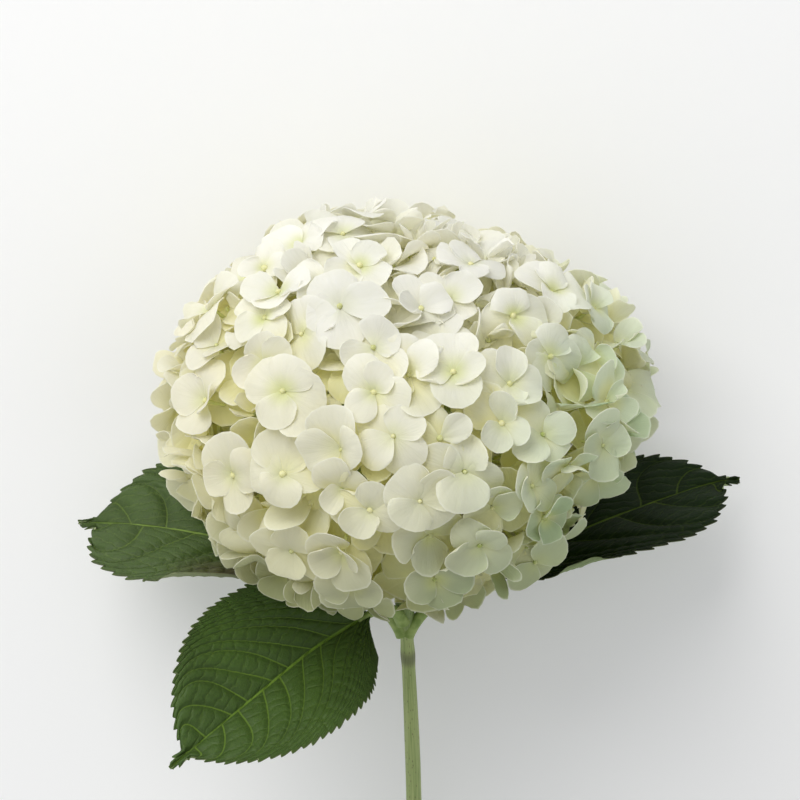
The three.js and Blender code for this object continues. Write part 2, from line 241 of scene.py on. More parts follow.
def tubes(paths, radii, sides):
    """Closed tubes round many paths, (tubes, steps, 3), with radii (steps) or (tubes, steps).

    Gives points, faces, and each point's share of its tube's length as the first of three numbers.
    """
    count, steps, _ = paths.shape
    ahead = unit(np.gradient(paths, axis=1))
    guide = np.where(np.abs(ahead[:, :1, 2:3]) < 0.8, [0.0, 0.0, 1.0], [1.0, 0.0, 0.0])
    side = unit(np.cross(ahead, guide))
    up = np.cross(side, ahead)
    turn = np.arange(sides) * 2 * math.pi / sides
    ring = side[:, :, None] * np.cos(turn)[:, None] + up[:, :, None] * np.sin(turn)[:, None]
    points = (paths[:, :, None] + ring * radii[..., None, None]).reshape(-1, 3)
    wall, first, last = tube_faces(steps, sides)
    faces = [copies(form, count, steps * sides) for form in (wall, np.stack([first, last[::-1]]))]
    share = np.tile(np.repeat(np.linspace(0, 1, steps), sides), count)
    return points, faces, share[:, None] * [1, 0, 0]


def bezier(knots, steps):
    """Points along Bezier curves from arrays of first, middle and last knots, (..., 3)."""
    share = np.linspace(0, 1, steps)[:, None]
    curve = [np.asarray(knot, float)[..., None, :] for knot in knots]
    while len(curve) > 1:
        curve = [a * (1 - share) + b * share for a, b in zip(curve, curve[1:])]
    return curve[0]


# ---- Florets ----
SEED = 11
OUTER_FLORETS, INNER_FLORETS = 292, 112
FLORET_GAP = 23.0  # florets closer than this push each other away
SEPAL_LENGTH, LONG_SEPAL = 16.8, 16.2  # a placed floret with long sepals stands over its neighbours
SEPAL_THICKNESS = 0.34  # at the claw; the rim is thinner
BUNCHES, BUNCH_REACH = 30, 0.36
PRESS_UNDER, FLOOR_GAP = 8.0, 0.35  # sepals are pressed flat between these heights by the head's weight
SEPAL_GRID, INNER_GRID = (11, 12), (7, 8)  # points from claw to rim and from side to side
SHADE_GRID = np.array([0.3, 0.65, 1.0]), np.array([-0.8, 0.0, 0.8])
SHADE_REACH, SHADE_RANGE = 13.0, (0.5, 5.0)
SIDE_FLORETS, CROWN_FLORETS, UNDER_FLORETS = 0.33, 0.55, -0.42  # where the pieces part, as shares of the head

# Florets that stand out: picture place, sepal length, how far turned to the camera (0 to 1), spin in degrees,
# rise of the sepals at the claw and at the tip in degrees.
PLACED = np.array([
    (341, 231, 14.5, 0.3, 20, 28, -18), (357, 262, 14.0, 0.3, 60, 30, 0), (257, 265, 13.0, 0.3, 10, 30, 10),
    (276, 291, 15.5, 0.4, 40, 20, -5), (262, 317, 14.5, 0.5, 75, 30, -10), (338, 307, 18.0, 0.4, 15, 24, 6),
    (374, 345, 15.5, 0.9, 45, 20, 22), (208, 343, 15.0, 0.5, 30, 30, 0), (200, 401, 17.0, 0.5, 0, 34, 12),
    (283, 390, 18.0, 0.7, 82, 20, -8), (260, 362, 15.0, 0.5, 35, 30, -10), (372, 392, 15.0, -0.4, 50, 24, -6),
    (423, 302, 15.5, 0.4, 25, 28, 10), (452, 295, 15.5, 0.7, 60, 22, 5), (473, 262, 14.5, 0.3, 10, 28, 0),
    (516, 312, 16.0, 0.5, 80, 24, -4), (455, 374, 19.5, 0.85, 2, 20, 8), (553, 355, 16.5, 0.6, 44, 22, 8),
    (512, 384, 16.0, 0.5, 70, 26, -12), (608, 352, 13.5, 0.3, 20, 42, 40), (600, 305, 14.0, 0.3, 50, 30, 0),
    (614, 402, 15.0, 0.4, 5, 40, 30), (281, 476, 17.5, 0.7, 88, 20, 0), (226, 478, 16.0, 0.5, 30, 30, 5),
    (340, 450, 16.0, 0.6, 15, 26, 0), (394, 436, 16.5, 0.7, 60, 24, 5), (338, 495, 15.0, 0.2, 40, 36, 20),
    (370, 512, 15.5, 0.4, 75, 30, -8), (340, 556, 16.5, 0.5, 25, 40, 24), (288, 556, 16.0, 0.3, 65, 32, 5),
    (350, 588, 15.0, 0.2, 0, 26, -10), (441, 440, 14.5, 0.5, 35, 28, 0), (466, 472, 16.5, 0.6, 84, 28, 16),
    (420, 503, 17.0, 0.75, 30, 22, 4), (505, 424, 15.0, 0.5, 55, 32, 20), (548, 437, 15.0, 0.5, 20, 30, 10),
    (573, 468, 15.0, 0.5, 70, 26, 0), (610, 447, 14.5, 0.4, 10, 32, 10), (533, 487, 15.5, 0.7, 45, 24, 6),
    (548, 522, 14.5, 0.5, 80, 30, 10), (498, 513, 15.0, 0.4, 15, 38, 26), (540, 567, 15.5, 0.5, 45, 10, 0),
    (436, 588, 16.0, 0.5, 20, 38, 24), (482, 548, 15.0, 0.4, 50, 32, 10),
])
# Three habits of the others: their share, the rise of their sepals at the claw and at the tip in degrees.
FLAT, CUPPED, BENT_BACK = (0.24, 26, 2), (0.48, 44, 60), (0.28, 38, -30)


def spread_florets():
    """Where florets grow on the head's outline: those that stand out, then others spread evenly between them."""
    lowest = math.sin(math.radians(OPENING_LATITUDE))
    even = spiral(OUTER_FLORETS, lowest)
    even = even * head_reach(even)[:, None]
    placed = np.array([on_head(pixel) for pixel in PLACED[:, :2]])
    free = np.ones(len(even), bool)
    for point in placed:
        apart = np.linalg.norm(even - point, axis=1) + 1e6 * ~free
        near = np.argmin(apart)
        free[near] &= apart[near] >= FLORET_GAP + 1
    centres = np.concatenate([placed, even[free]])
    fixed = np.arange(len(centres)) < len(placed)
    for _ in range(60):
        apart = centres[:, None] - centres[None]
        distance = np.linalg.norm(apart, axis=-1) + 1e6 * np.eye(len(centres))
        push = np.clip(FLORET_GAP - distance, 0, None)[..., None] * apart / distance[..., None]
        direction = unit(centres + 0.12 * push.sum(1))
        low = np.clip(direction[:, 1], lowest, None)
        flat = unit(direction[:, [0, 2]]) * np.sqrt(1 - low**2)[:, None]
        direction = np.stack([flat[:, 0], low, flat[:, 1]], -1)
        centres = np.where(fixed[:, None], centres, direction * head_reach(direction)[:, None])
    # The stem's top stays free of florets on the near side.
    right, up, out = (centres @ VIEW.T).T
    return centres[fixed | ~((out > -20) & (np.abs(right + 1) < 13) & (up < -70))]


def plan_florets(rng):
    """Where the outer florets grow and face, and their sepals' length, spin and rise."""
    centres = spread_florets()
    n, placed = len(centres), len(PLACED)
    others = np.arange(n) >= placed
    hidden = np.where(rng.uniform(0, 1, n) < 0.45, rng.uniform(0, 0.3, n), rng.uniform(0.4, 1.0, n))
    # Those beside one that stands out stay under it, and the crown is closer than the rest.
    apart = np.linalg.norm(centres[:, None] - centres[None, :placed], axis=-1)
    big = PLACED[:, 2] > LONG_SEPAL
    crowded = (apart < np.where(big, 25, 19)).any(1)
    hidden = np.where(crowded, np.maximum(hidden, 0.45), hidden)
    hidden = hidden * (1 - 0.5 * ramp(unit(centres)[:, 1], 0.3, 0.8)) * others
    tilt = rng.normal(0, 1, (n, 3)).clip(-2.0, 2.0) * (0.46 + 0.5 * hidden)[:, None]
    # How far each floret is from the middle of its branch's bunch, as a vector that is 1 long at the rim.
    bunches = spiral(BUNCHES, math.sin(math.radians(OPENING_LATITUDE)), 2.0)
    away = (unit(centres) - nearest(unit(centres), bunches)) / BUNCH_REACH
    own = surface_normals(centres)
    normal = unit(own + np.array([0, 0.12, 0.0]) + tilt + 0.32 * away)
    turned = PLACED[:, 3:4]
    normal[:placed] = unit(own[:placed] * (1 - 0.6 * turned) + VIEW[2] * 0.6 * turned + rng.normal(0, 0.2, (placed, 3)))
    habits = np.array([FLAT, CUPPED, BENT_BACK])
    _, rise, tip = habits[rng.choice(len(habits), n, p=habits[:, 0])].T
    florets = {
        "normal": normal,
        "length": rng.normal(SEPAL_LENGTH, 1.6, n).clip(13.5, 20.5),
        "spin": rng.uniform(0, 360, n),
        "rise": (rise + 12 * hidden + rng.normal(0, 8, n)).clip(8, 70),
        "tip": (tip + rng.normal(0, 12, n)).clip(-50, 76),
        "inner": np.zeros(n, bool),
    }
    for name, column in (("length", 2), ("spin", 4), ("rise", 5), ("tip", 6)):
        florets[name][:placed] = PLACED[:, column]
    # Sepals rise from the claw, so a floret's middle sits under the head's outline by about their rise.
    sink = florets["length"] * np.sin(np.radians(florets["rise"] * 0.6 + florets["tip"] * 0.4)).clip(0.05, 0.8)
    valley = np.minimum((away**2).sum(1), 1.4) * others
    depth = 1.0 + 0.5 * sink + hidden * 10.0 + valley * 5.0
    depth[:placed] -= 3.0 * big
    florets["centre"] = centres * (1 - depth / np.linalg.norm(centres, axis=1))[:, None]
    return florets


def plan_inner(rng):
    """Younger florets under the outer ones, which fill the gaps between them; their yellow-green is partly their own
    colour and partly painted shade.
    """
    n = INNER_FLORETS
    direction = spiral(n, math.sin(math.radians(OPENING_LATITUDE + 6)), 1.0)
    return {
        "centre": direction * (head_reach(direction) * rng.uniform(0.83, 0.88, n))[:, None],
        "normal": unit(surface_normals(direction) + rng.normal(0, 0.2, (n, 3))),
        "length": rng.normal(16.5, 1.0, n),
        "spin": rng.uniform(0, 360, n),
        "rise": rng.normal(22, 8, n),
        "tip": rng.normal(5, 10, n),
        "inner": np.ones(n, bool),
    }


def sepal_shapes(florets, rng):
    """Shape numbers of every sepal, four to a floret, each as (sepals, 1, 1)."""
    count = 4 * len(florets["length"])
    length, spin, rise, tip = (np.repeat(florets[name], 4) for name in ("length", "spin", "rise", "tip"))
    lower = np.tile([1.0, 0.0], count // 2)  # two of a floret's sepals lie under the other two

    def normal(mean, spread):
        return rng.normal(mean, spread, count)

    def uniform(low, high):
        return rng.uniform(low, high, count)

    shape = {
        "length": length * normal(1, 0.06) * (0.97 + 0.06 * lower),
        "turn": np.radians(spin) + np.tile(np.arange(4) * math.pi / 2, count // 4) + normal(0, 0.13),
        "half": np.radians(normal(68, 6)),
        "rise": np.radians(rise + normal(0, 15) - 5 * lower),
        "tip": np.radians(tip + normal(0, 27)),
        "cross": normal(0.34, 0.36).clip(-0.5, 1.1),
        "fold": normal(0.34, 0.1) * (uniform(0, 1) < 0.38) * rng.choice([-0.8, 1.0], count),
        "twist": normal(0, 0.2),
        "pleat": uniform(0.05, 0.30),
        "pleats": uniform(5.0, 8.0),
        "lift": 0.25 - 0.5 * lower,
        "ruffle": rng.gamma(2.2, 0.46, count).clip(0.15, 2.5),
        "waves": uniform(2.2, 5.0),
        "phase": uniform(0, 2 * math.pi),
        "notch": uniform(0, 1) ** 3 * 0.1,
        "teeth": np.where(uniform(0, 1) > 0.86, 0.045, 0.0),
        "point": normal(0.03, 0.05),
        "skew": normal(0, 0.08),
    }
    return SimpleNamespace(**{name: value[:, None, None] for name, value in shape.items()})


def sepal_points(shape, s, t, edge):
    """Rest points of sepals in their floret's frame, z out of it. s runs from claw to rim, t from side to side."""
    length, phase = shape.length, shape.phase
    across = np.abs(t)
    radius = length * s * (1 - 0.30 * across**2.5 * s**1.5 + shape.point * (1 - across) ** 2 * s)
    radius = radius * (1 + shape.skew * t * s)
    if edge:
        notch = shape.notch * np.exp(-((t / 0.16) ** 2)) * s**4
        teeth = shape.teeth * np.abs(np.sin(t * 9.0 + phase)) * s**6
        radius = radius * (1 - notch - teeth)
    angle = t * shape.half * (1 - 0.25 * s**2)
    bend = shape.tip - shape.rise
    bend = np.where(np.abs(bend) < 0.02, 0.02, bend)

    def profile(distance):
        slope = shape.rise + bend * distance / length
        reach = length * (np.sin(slope) - np.sin(shape.rise)) / bend
        lift = length * (np.cos(shape.rise) - np.cos(slope)) / bend
        return reach, lift

    # Between a bowl, bent alike all round its claw, and a plate, bent along its middle only.
    bowl, plate = 0.55, 0.45
    bowl_reach, bowl_lift = profile(radius)
    plate_reach, plate_lift = profile(radius * np.cos(angle))
    x = bowl * bowl_reach * np.sin(angle) + plate * radius * np.sin(angle)
    y = bowl * bowl_reach * np.cos(angle) + plate * plate_reach
    z = bowl * bowl_lift + plate * plate_lift
    z = z + shape.cross * x**2 / length * s + shape.twist * x * y / length + shape.lift * (1 - s) ** 2
    z = z + shape.fold * (np.sqrt(x**2 + 1.5) - 1.22) * ramp(s, 0.1, 0.5)
    if edge:
        z = z + shape.pleat * np.sin(math.pi * s) * np.cos(shape.pleats * t + phase)
        wave = np.sin(shape.waves * t + phase) + 0.4 * np.sin(2.3 * shape.waves * t - phase)
        z = z + shape.ruffle * s**3 * wave * (0.5 + 0.5 * across)
    cos, sin = np.cos(shape.turn), np.sin(shape.turn)
    return np.stack([x * cos - y * sin, x * sin + y * cos, z], -1)


def press(points):
    """Lays what would go under the floor flat on it, in the order that it has."""
    z = world(points)[..., 2]
    room = PRESS_UNDER - FLOOR_GAP
    pressed = np.where(z < PRESS_UNDER, FLOOR_GAP + room * np.exp(np.minimum(z - PRESS_UNDER, 0) / room), z)
    return points + (pressed - z)[..., None] * UP


def lift_clear(points, least):
    """The moves that bring points which are lower than this up to it."""
    return np.maximum(least - world(points)[..., 2], 0)[..., None] * UP


def floret_axes(normal):
    """Each floret's own x, y and z, where z is its normal."""
    guide = np.where(np.abs(normal[:, 1:2]) < 0.9, [0.0, 1.0, 0.0], [1.0, 0.0, 0.0])
    side = unit(np.cross(guide, normal))
    return np.stack([side, np.cross(normal, side), normal], 1)


def put_sepals(florets, shape, s, t, edge):
    """Sepal points in the flower's frame, (florets * 4, rows, columns, 3)."""
    axes, centre = np.repeat(floret_axes(florets["normal"]), 4, 0), np.repeat(florets["centre"], 4, 0)
    return press(np.einsum("nijk,nkl->nijl", sepal_points(shape, s, t, edge), axes) + centre[:, None, None])


def near_pairs(points, reach):
    """Index pairs of points closer than reach, found by sorting the points into cells of that size."""
    cell = np.floor(points / reach).astype(np.int64)
    cell -= cell.min(0) - 1
    size = cell.max(0) + 2
    strides = np.array([size[1] * size[2], size[2], 1])
    key = cell @ strides
    order = np.argsort(key, kind="stable")
    keys = key[order]
    pairs = []
    for corner in np.ndindex(3, 3, 3):
        step = (np.array(corner) - 1) @ strides
        if step < 0:
            continue
        low = np.searchsorted(keys, key + step, "left")
        count = np.searchsorted(keys, key + step, "right") - low
        i = np.repeat(np.arange(len(points)), count)
        j = order[np.arange(count.sum()) + np.repeat(low - (np.cumsum(count) - count), count)]
        near = ((points[i] - points[j]) ** 2).sum(1) < reach**2
        near &= (i < j) | (step > 0)
        pairs.append((i[near], j[near]))
    return np.concatenate(pairs, 1)


# Gentle ways for a sepal to bend, all still at its claw: powers of s and t.
BENDS = [(a, b) for a in (1, 2, 3) for b in (0, 1, 2)]
BEND_ROUNDS, QUICK_ROUNDS = 80, 24
PAIR_REACH, BESIDE_REACH = 6.8, 4.6  # points this near are looked at, and these push each other
SEPAL_GAP = 0.85
OUTLINE_ROOM = 2.0


def smooth_basis(s, t):
    return np.stack([s.ravel() ** a * t.ravel() ** b for a, b in BENDS], -1)


def sum_by(index, rows, size):
    """The sums of the rows that have each index."""
    return np.stack([np.bincount(index, column, size) for column in rows.T], -1)


def bend_clear(florets, shape, rounds):
    """Bends sepals apart until they lie over one another instead of through, and keeps them in the head.

    Returns each floret's shift and each sepal's bend as weights of smooth_basis.
    """
    side = 5
    s, t = np.meshgrid(np.linspace(0.15, 1, side), np.linspace(-1, 1, side), indexing="ij")
    rest = put_sepals(florets, shape, s, t, True)
    sepals, per_sepal, per_floret = len(rest), side**2, 4 * side**2
    basis = smooth_basis(s, t)
    stiffness = np.diag([0.07 * (a * a + b * b) for a, b in BENDS])
    fit = np.linalg.solve(basis.T @ basis + stiffness, basis.T)
    rest = rest.reshape(-1, 3)
    sepal = np.repeat(np.arange(sepals), per_sepal)
    floret, over = sepal // 4, sepal % 2
    claw = np.tile(s.ravel(), sepals)
    facing = np.repeat(florets["normal"], per_floret, 0)
    shift = np.zeros((sepals // 4, 3))
    weight = np.zeros((sepals, len(BENDS), 3))

    def placed():
        return rest + np.repeat(shift, per_floret, 0) + np.einsum("pk,nkc->npc", basis, weight).reshape(-1, 3)

    points = placed()
    for turn in range(rounds):
        search = turn % 8 == 0
        if search:
            i, j = near_pairs(points, PAIR_REACH)
            own = floret[i] == floret[j]
            from_claw = np.minimum(claw[i], claw[j])
            keep = (sepal[i] != sepal[j]) & (~own | (from_claw > 0.3) & (over[i] != over[j]))
            i, j, own, from_claw = i[keep], j[keep], own[keep], from_claw[keep]
            forth = np.where(sepal[i] > sepal[j], -1, 1)
            pair = np.minimum(sepal[i], sepal[j]) * sepals + np.maximum(sepal[i], sepal[j])
            names, index = np.unique(pair, return_inverse=True)
        normals = grid_normals(points.reshape(sepals, side, side, 3)).reshape(-1, 3)
        normals *= np.where((normals * facing).sum(1, keepdims=True) < 0, -1, 1)
        apart = points[i] - points[j]
        middle = unit(normals[i] + normals[j])
        height = (apart * middle).sum(1)
        beside = np.sqrt(np.maximum((apart**2).sum(1) - height**2, 0))
        near = np.maximum(1 - (beside / BESIDE_REACH) ** 2, 0)
        if search:
            # Which of two sepals lies over the other: most of their points decide, or their order in one floret.
            vote = np.bincount(index, near * height * forth, len(names))
            order = np.where(vote >= 0, 1.0, -1.0)[index] * forth
            order = np.where(own, np.where(over[i] > over[j], 1.0, -1.0), order)
        room = SEPAL_GAP * (1 - 0.5 * (beside / BESIDE_REACH) ** 2) * np.where(own, 0.6 * from_claw, 1.0)
        short = np.maximum(room - order * height, 0)
        hit = (short > 0) & (near > 0)
        push = middle * (order * (0.5 * np.minimum(short, 2.5) * near))[:, None]
        a, b, push, pull = i[hit], j[hit], push[hit], near[hit]
        count = len(points)
        share = np.bincount(a, pull, count) + np.bincount(b, pull, count)
        move = (sum_by(a, push, count) - sum_by(b, push, count)) / (share + 0.6)[:, None]
        outside = np.linalg.norm(points, axis=1) - head_reach(unit(points)) * 1.02 - OUTLINE_ROOM
        move -= unit(points) * (0.5 * np.maximum(outside, 0))[:, None]
        move += lift_clear(points, FLOOR_GAP)
        wanted = placed() + move * 1.3
        shift += sum_by(floret, move, len(shift)) / per_floret
        shift *= 0.995
        bent = wanted - rest - np.repeat(shift, per_floret, 0)
        weight = np.einsum("kp,npc->nkc", fit, bent.reshape(sepals, per_sepal, 3)) * 0.998
        points = placed()
    return shift, weight


def sheltered(points, reach):
    """How much other sepals close in each point of coarse grids, (sepals, rows, columns, 3), from outside."""
    flat = points.reshape(-1, 3)
    sepal = np.repeat(np.arange(len(points)), points.shape[1] * points.shape[2])
    i, j = near_pairs(flat, reach)
    keep = sepal[i] != sepal[j]
    i, j = i[keep], j[keep]
    apart = flat[j] - flat[i]
    distance = np.linalg.norm(apart, axis=1) + 1e-6
    out = surface_normals(flat)
    near = 1 - (distance / reach) ** 2
    above = np.maximum((apart * out[i]).sum(1) / distance - 0.1, 0) * near
    below = np.maximum(-(apart * out[j]).sum(1) / distance - 0.1, 0) * near
    return (np.bincount(i, above, len(flat)) + np.bincount(j, below, len(flat))).reshape(points.shape[:3])


def between(x, knots):
    """Weights that read values at knots, linearly, at places x."""
    x = np.clip(x, knots[0], knots[-1])
    return np.stack([np.interp(x, knots, row) for row in np.eye(len(knots))], 1)


def blend(a, b, share):
    share = np.clip(share, 0, 1)[..., None]
    return np.asarray(a) * (1 - share) + np.asarray(b) * share


def srgb(r, g, b):
    c = np.array([r, g, b]) / 255
    return np.where(c <= 0.04045, c / 12.92, ((c + 0.055) / 1.055) ** 2.4)


# Sepal colours. The shade, gap and underside colours are painted light and shade, and mint and olive are partly painted
# shade.
CREAM, WHITE, CROWN_WHITE = [0.965, 0.945, 0.88], [0.945, 0.945, 0.885], [0.964, 0.962, 0.948]
MINT, OLIVE, LIME = [0.62, 0.76, 0.56], [0.52, 0.57, 0.33], [0.82, 0.86, 0.40]
SHADE_CREAM, CROWN_SHADE = [0.97, 0.95, 0.63], [0.968, 0.96, 0.88]
GAP_GREEN, CROWN_GAP = [0.97, 0.95, 0.50], [0.97, 0.96, 0.76]
UNDERSIDE_GLOW = [0.96, 0.94, 0.78]


def head_green_and_shade(points):
    """0 to 1: how green the sepals are at places of the head; those low and on the right opened last. The same share is
    also painted shade there, on the side that the light reaches least.
    """
    d = unit(points)
    right = d @ unit([0.85, -0.45, 0.25])
    return np.clip(ramp(right, 0.1, 0.95) + 0.4 * ramp(-d[..., 1], 0.1, 0.75), 0, 1)


def sepal_colours(florets, points, s, shade, rng):
    """RGB for grids of sepal points, with painted light and shade: what other sepals close in is painted a light
    yellow-green, a painted glow of light let through the petals, and the low side of the head is painted darker.
    """
    sepals = len(points)
    tone = np.repeat(rng.normal(0, 1, sepals // 4), 4)[:, None, None]
    inner = np.repeat(florets["inner"], 4)[:, None, None]
    direction, x = unit(points), points[..., 0]
    crown = direction[..., 1]
    low, high = ramp(-crown, -0.6, 0.8), ramp(crown, 0.4, 0.85)
    green = head_green_and_shade(points) * (1 + 0.35 * tone) + 0.05 * tone
    base = blend(WHITE, CREAM, ramp(-x, -40, 90) * 0.8 + 0.1 + 0.2 * tone)
    # Mint green towards the low right is partly the colour of the sepals that opened last. It is partly painted shade
    # on the side that the light reaches least.
    base = blend(base, MINT, green * 0.72)
    # Olive towards the bottom of the head is partly the sepals' own colour there and partly painted shade under the
    # head.
    base = blend(base, OLIVE, 0.8 * ramp(-crown, 0.2, 0.75) + 0.05 * tone)
    # Painted shade: towards the bottom of the head, and more on its right, the sepals are painted darker and yellower.
    # They are darker still where other sepals close them in, and by how much varies from floret to floret.
    painted_bottom_shade = 0.27 * (1 + 0.5 * np.clip(tone, -1.4, 1.4)) * (0.6 + 0.4 * ramp(x, -70, 50)) + 0.3 * shade
    base = base * (1 - low * painted_bottom_shade)[..., None] * (1 - low[..., None] * [0, 0, 0.23])
    # Painted light: towards the crown, where the light falls most, the sepals are painted whiter and less yellow.
    base = blend(base, CROWN_WHITE, 0.9 * high)
    depth = 1 - np.linalg.norm(points, axis=-1) / head_reach(direction)
    base = blend(base, LIME, np.clip(0.5 + 0.25 * tone, 0.1, 0.9) * (1 - ramp(s, 0.0, 0.64)) ** 1.4)
    # Painted light and shade: sepals closed in by others are painted light yellow, a painted glow of light let through
    # the petals and bounced between them. This colour is whiter towards the crown.
    base = blend(base, blend(SHADE_CREAM, CROWN_SHADE, high), shade * (1 - 0.35 * green))
    # Painted shade: the deeper a place lies under the head's outline, the more it is painted yellow-green, standing for
    # light bounced between yellowish petals. The inner florets partly have this colour of their own.
    base = blend(base, blend(GAP_GREEN, CROWN_GAP, high), ramp(depth, 0.05, 0.22) * 0.75 + 0.2 * inner)
    each = rng.uniform(0, 1, sepals)[:, None, None, None] ** 1.5
    return base * (1 + 0.015 * tone[..., None]) * (1 - each * [0.04, 0.036, 0.05])


def make_florets(petal, bud, green):
    rng = np.random.default_rng(SEED)
    outer, inner = plan_florets(rng), plan_inner(rng)
    florets = {name: np.concatenate([outer[name], inner[name]]) for name in outer}
    shape = sepal_shapes(florets, rng)
    shift, weight = bend_clear(florets, shape, BEND_ROUNDS)

    def built(s, t, edge):
        points = put_sepals(florets, shape, s, t, edge) + np.repeat(shift, 4, 0)[:, None, None]
        return points + np.einsum("pk,nkc->npc", smooth_basis(s, t), weight).reshape(points.shape)

    # How far other sepals close in each sepal, used to paint shade and a glow of light through the petals into the
    # colour.
    shade = sheltered(built(*np.meshgrid(*SHADE_GRID, indexing="ij"), False), SHADE_REACH)
    shade = ramp(shade, *SHADE_RANGE)
    inside = np.repeat(florets["inner"], 4)
    right, crown, front = unit(np.repeat(florets["centre"], 4, 0)).T
    under = ~inside & (front < UNDER_FLORETS)
    top = ~inside & ~under & (crown > CROWN_FLORETS)
    rest = ~inside & ~under & ~top
    groups = {
        "florets_inner": inside,
        "florets_under": under,
        "florets_crown": top,
        "florets_left": rest & (right < -SIDE_FLORETS),
        "florets_right": rest & (right > SIDE_FLORETS),
        "florets_front": rest & (np.abs(right) <= SIDE_FLORETS),
    }
    for inner, (rows, columns) in ((False, SEPAL_GRID), (True, INNER_GRID)):
        side = np.sin(np.linspace(-1, 1, columns) * 1.35) / math.sin(1.35)  # closer together at the rim
        s, t = np.meshgrid(np.linspace(0.07, 1, rows), side, indexing="ij")
        points = built(s, t, True)
        points = points + lift_clear(points, 0.3)
        normals = grid_normals(points)
        dim = np.einsum("ra,cb,nab->nrc", between(s[:, 0], SHADE_GRID[0]), between(side, SHADE_GRID[1]), shade)
        colours = sepal_colours(florets, points, s, dim, np.random.default_rng(SEED + 1))
        seeds = np.arange(len(points)) * 0.731 % 17
        place = np.stack(np.broadcast_arrays(t, s, seeds[:, None, None]), -1)
        for name, member in groups.items():
            if (name == "florets_inner") == inner:
                verts, faces = sheets(points[member], normals[member], SEPAL_THICKNESS - 0.12 * s)
                own = colours[member]
                # Painted light: the underside of each sepal is painted paler and yellower than its top, standing for
                # light let through the sepal. The effect is smaller towards the crown.
                pale = blend(own, UNDERSIDE_GLOW, 0.7 - 0.3 * ramp(unit(points[member])[..., 1], 0.4, 0.85))
                tone = np.stack([own, pale], 1).reshape(-1, 3)
                spot = np.repeat(place[member][:, None], 2, 1).reshape(-1, 3)
                make_piece(name, verts, faces, petal, "flower_head", tone, spot)
    florets["centre"] = florets["centre"] + shift
    make_buds(florets, bud, rng)
    make_stalks(florets, green, rng)


def cube_ball(n):
    """A ball of quads: points on the unit sphere and faces, n x n quads on each side of a cube."""
    lookup, faces = {}, []
    for axis in range(3):
        for sign in (-1, 1):
            grid = np.zeros((n + 1, n + 1), int)
            for a, b in np.ndindex(grid.shape):
                p = np.zeros(3)
                p[axis] = sign
                p[(axis + 1) % 3] = math.tan((2 * a / n - 1) * math.pi / 4)
                p[(axis + 2) % 3] = math.tan((2 * b / n - 1) * math.pi / 4)
                grid[a, b] = lookup.setdefault(tuple(np.round(unit(p), 5)), len(lookup))
            faces.append(quads(grid)[:, ::sign])
    return np.array(list(lookup)), np.concatenate(faces)


def make_buds(florets, material, rng):
    """The small closed bud in the middle of each floret, a bead of four lobes."""
    normal = florets["normal"]
    n = len(normal)
    ball, faces = cube_ball(3)
    turn = np.arctan2(ball[:, 1], ball[:, 0])
    lobed = ball * (1 - 0.10 * np.abs(np.sin(2 * turn)) ** 0.6 * np.hypot(ball[:, 0], ball[:, 1]))[:, None]
    lobed = lobed * [1, 1, 0.92]
    size = rng.normal(1.25, 0.18, n).clip(0.95, 1.7)
    points = np.einsum("pk,nkl->npl", lobed, floret_axes(normal)) * size[:, None, None]
    points = press(points + (florets["centre"] + normal * 0.7)[:, None])
    # Greener towards the low right: partly the buds' own colour, partly painted shade on the side that the light
    # reaches least.
    green = head_green_and_shade(points) + rng.normal(0.1, 0.35, (n, 1))
    colour = blend(srgb(212, 210, 156), srgb(150, 164, 88), green)
    place = np.stack(np.broadcast_arrays(lobed[:, 2], size[:, None], rng.uniform(0, 9, (n, 1))), -1)
    make_piece("floret_buds", points.reshape(-1, 3), [copies(faces, n, len(ball))], material, "flower_head",
               colour.reshape(-1, 3), place.reshape(-1, 3))


def ray_tips():
    turn = (np.arange(RAYS) + 0.5) / RAYS * 2 * math.pi
    return np.stack([RAY_SPREAD * np.sin(turn), np.full(RAYS, RAY_TIP_AT), RAY_SPREAD * np.cos(turn)], -1)


def make_stalks(florets, material, rng):
    """A stalk from each floret to a branch, and the branches to the rays."""
    count = 44
    direction = spiral(count, -0.75)
    nodes = direction * (head_reach(direction) * rng.uniform(0.46, 0.56, count))[:, None]
    centre, normal = florets["centre"], florets["normal"]
    bend = centre - normal * 11 - unit(centre) * 3
    stalks = press(bezier([centre - normal * 0.15, bend, nearest(centre, nodes)], 8))
    radius = np.linspace(0.62, 0.8, 8) * rng.normal(1, 0.08, (len(stalks), 1))
    radius[:, :2] = 1.0, 0.72
    tips = nearest(nodes, ray_tips())
    branches = bezier([tips, tips * 0.4 + nodes * 0.6 + [0, 6, 0], nodes * 1.02], 10)
    for name, path, radii, sides, colour in (
        ("floret_stalks", stalks, radius, 6, srgb(222, 226, 160)),
        ("head_branches", branches, np.linspace(1.5, 1.05, 10), 8, srgb(190, 202, 132)),
    ):
        points, faces, spots = tubes(path, radii, sides)
        tone = np.broadcast_to(colour, points.shape)
        make_piece(name, points, faces, material, "flower_head", tone, spots)


# ---- Leaves ----
RIB_SWEEP = 0.13
TIP_FROM = 0.92
PETIOLE_RADIUS, PETIOLE_ENTRY = 2.1, 0.06
BLADE_STATIONS = 220
BLADE_COLUMNS = np.array([0, 0.014, 0.03, 0.055, 0.09, 0.13, 0.18, 0.24, 0.30, 0.36, 0.42, 0.48, 0.54, 0.60, 0.66, 0.72,
                          0.775, 0.825, 0.865, 0.90, 0.93, 0.955, 0.98, 1.0])  # from the midrib to the margin
CURL_FROM = 0.87  # the margin curls up from here on
TOOTH_TIP = 0.74  # where a tooth stops rising, as a share of its length
RUNG_GAP = 4.6  # millimetres between ladder veins

